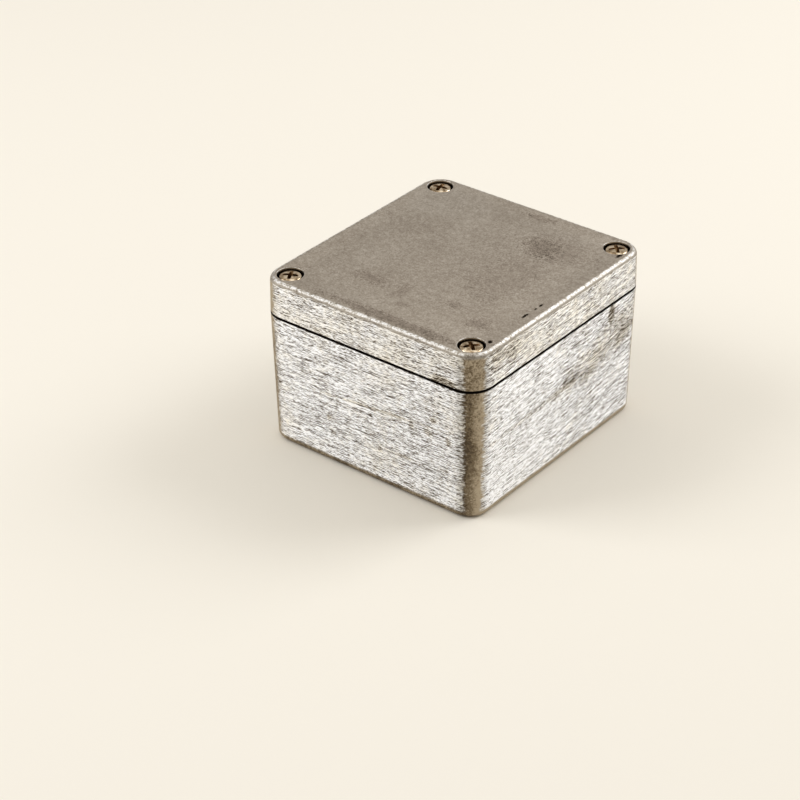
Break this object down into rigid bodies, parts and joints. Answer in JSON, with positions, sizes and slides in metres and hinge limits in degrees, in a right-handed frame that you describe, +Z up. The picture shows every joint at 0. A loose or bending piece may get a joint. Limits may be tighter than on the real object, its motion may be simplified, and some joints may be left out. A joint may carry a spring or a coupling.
{
  "type": "sealed die cast aluminium box",
  "caption": "Small sealed die cast box: drafted base, lift-off lid with rubber gasket in its groove, captive cross-recess screws in the corners, hidden wall fixing holes and inner board bosses.",
  "frame": {"origin": "centre of the bottom face that the box rests on", "axes": "+Z up through the lid, +Y along the longer side, +X along the shorter side"},
  "size_m": [0.075, 0.08, 0.052],
  "materials": {
    "base_metal": "die cast, sides linished with a coarse belt",
    "lid_metal": "die cast, matt top, sides linished with a coarse belt",
    "gasket_rubber": "moulded matt rubber",
    "screw_steel": "bright stainless steel"
  },
  "bodies": {
    "base": {"base_casting": "base_metal"},
    "lid": {"lid_casting": "lid_metal", "lid_gasket": "gasket_rubber"},
    "screw_front_left": {"lid_screw_front_left": "screw_steel"},
    "screw_front_right": {"lid_screw_front_right": "screw_steel"},
    "screw_back_right": {"lid_screw_back_right": "screw_steel"},
    "screw_back_left": {"lid_screw_back_left": "screw_steel"}
  },
  "joints": [
    {"name": "lid_lift", "type": "slide", "parent": "base", "child": "lid", "axis": [0, 0, 1], "range_m": [0, 0.05]},
    {"name": "undo_front_left", "type": "slide", "parent": "lid", "child": "screw_front_left", "axis": [0, 0, 1], "range_m": [0, 0.0064]},
    {"name": "undo_front_right", "type": "slide", "parent": "lid", "child": "screw_front_right", "axis": [0, 0, 1], "range_m": [0, 0.0064]},
    {"name": "undo_back_right", "type": "slide", "parent": "lid", "child": "screw_back_right", "axis": [0, 0, 1], "range_m": [0, 0.0064]},
    {"name": "undo_back_left", "type": "slide", "parent": "lid", "child": "screw_back_left", "axis": [0, 0, 1], "range_m": [0, 0.0064]}
  ]
}
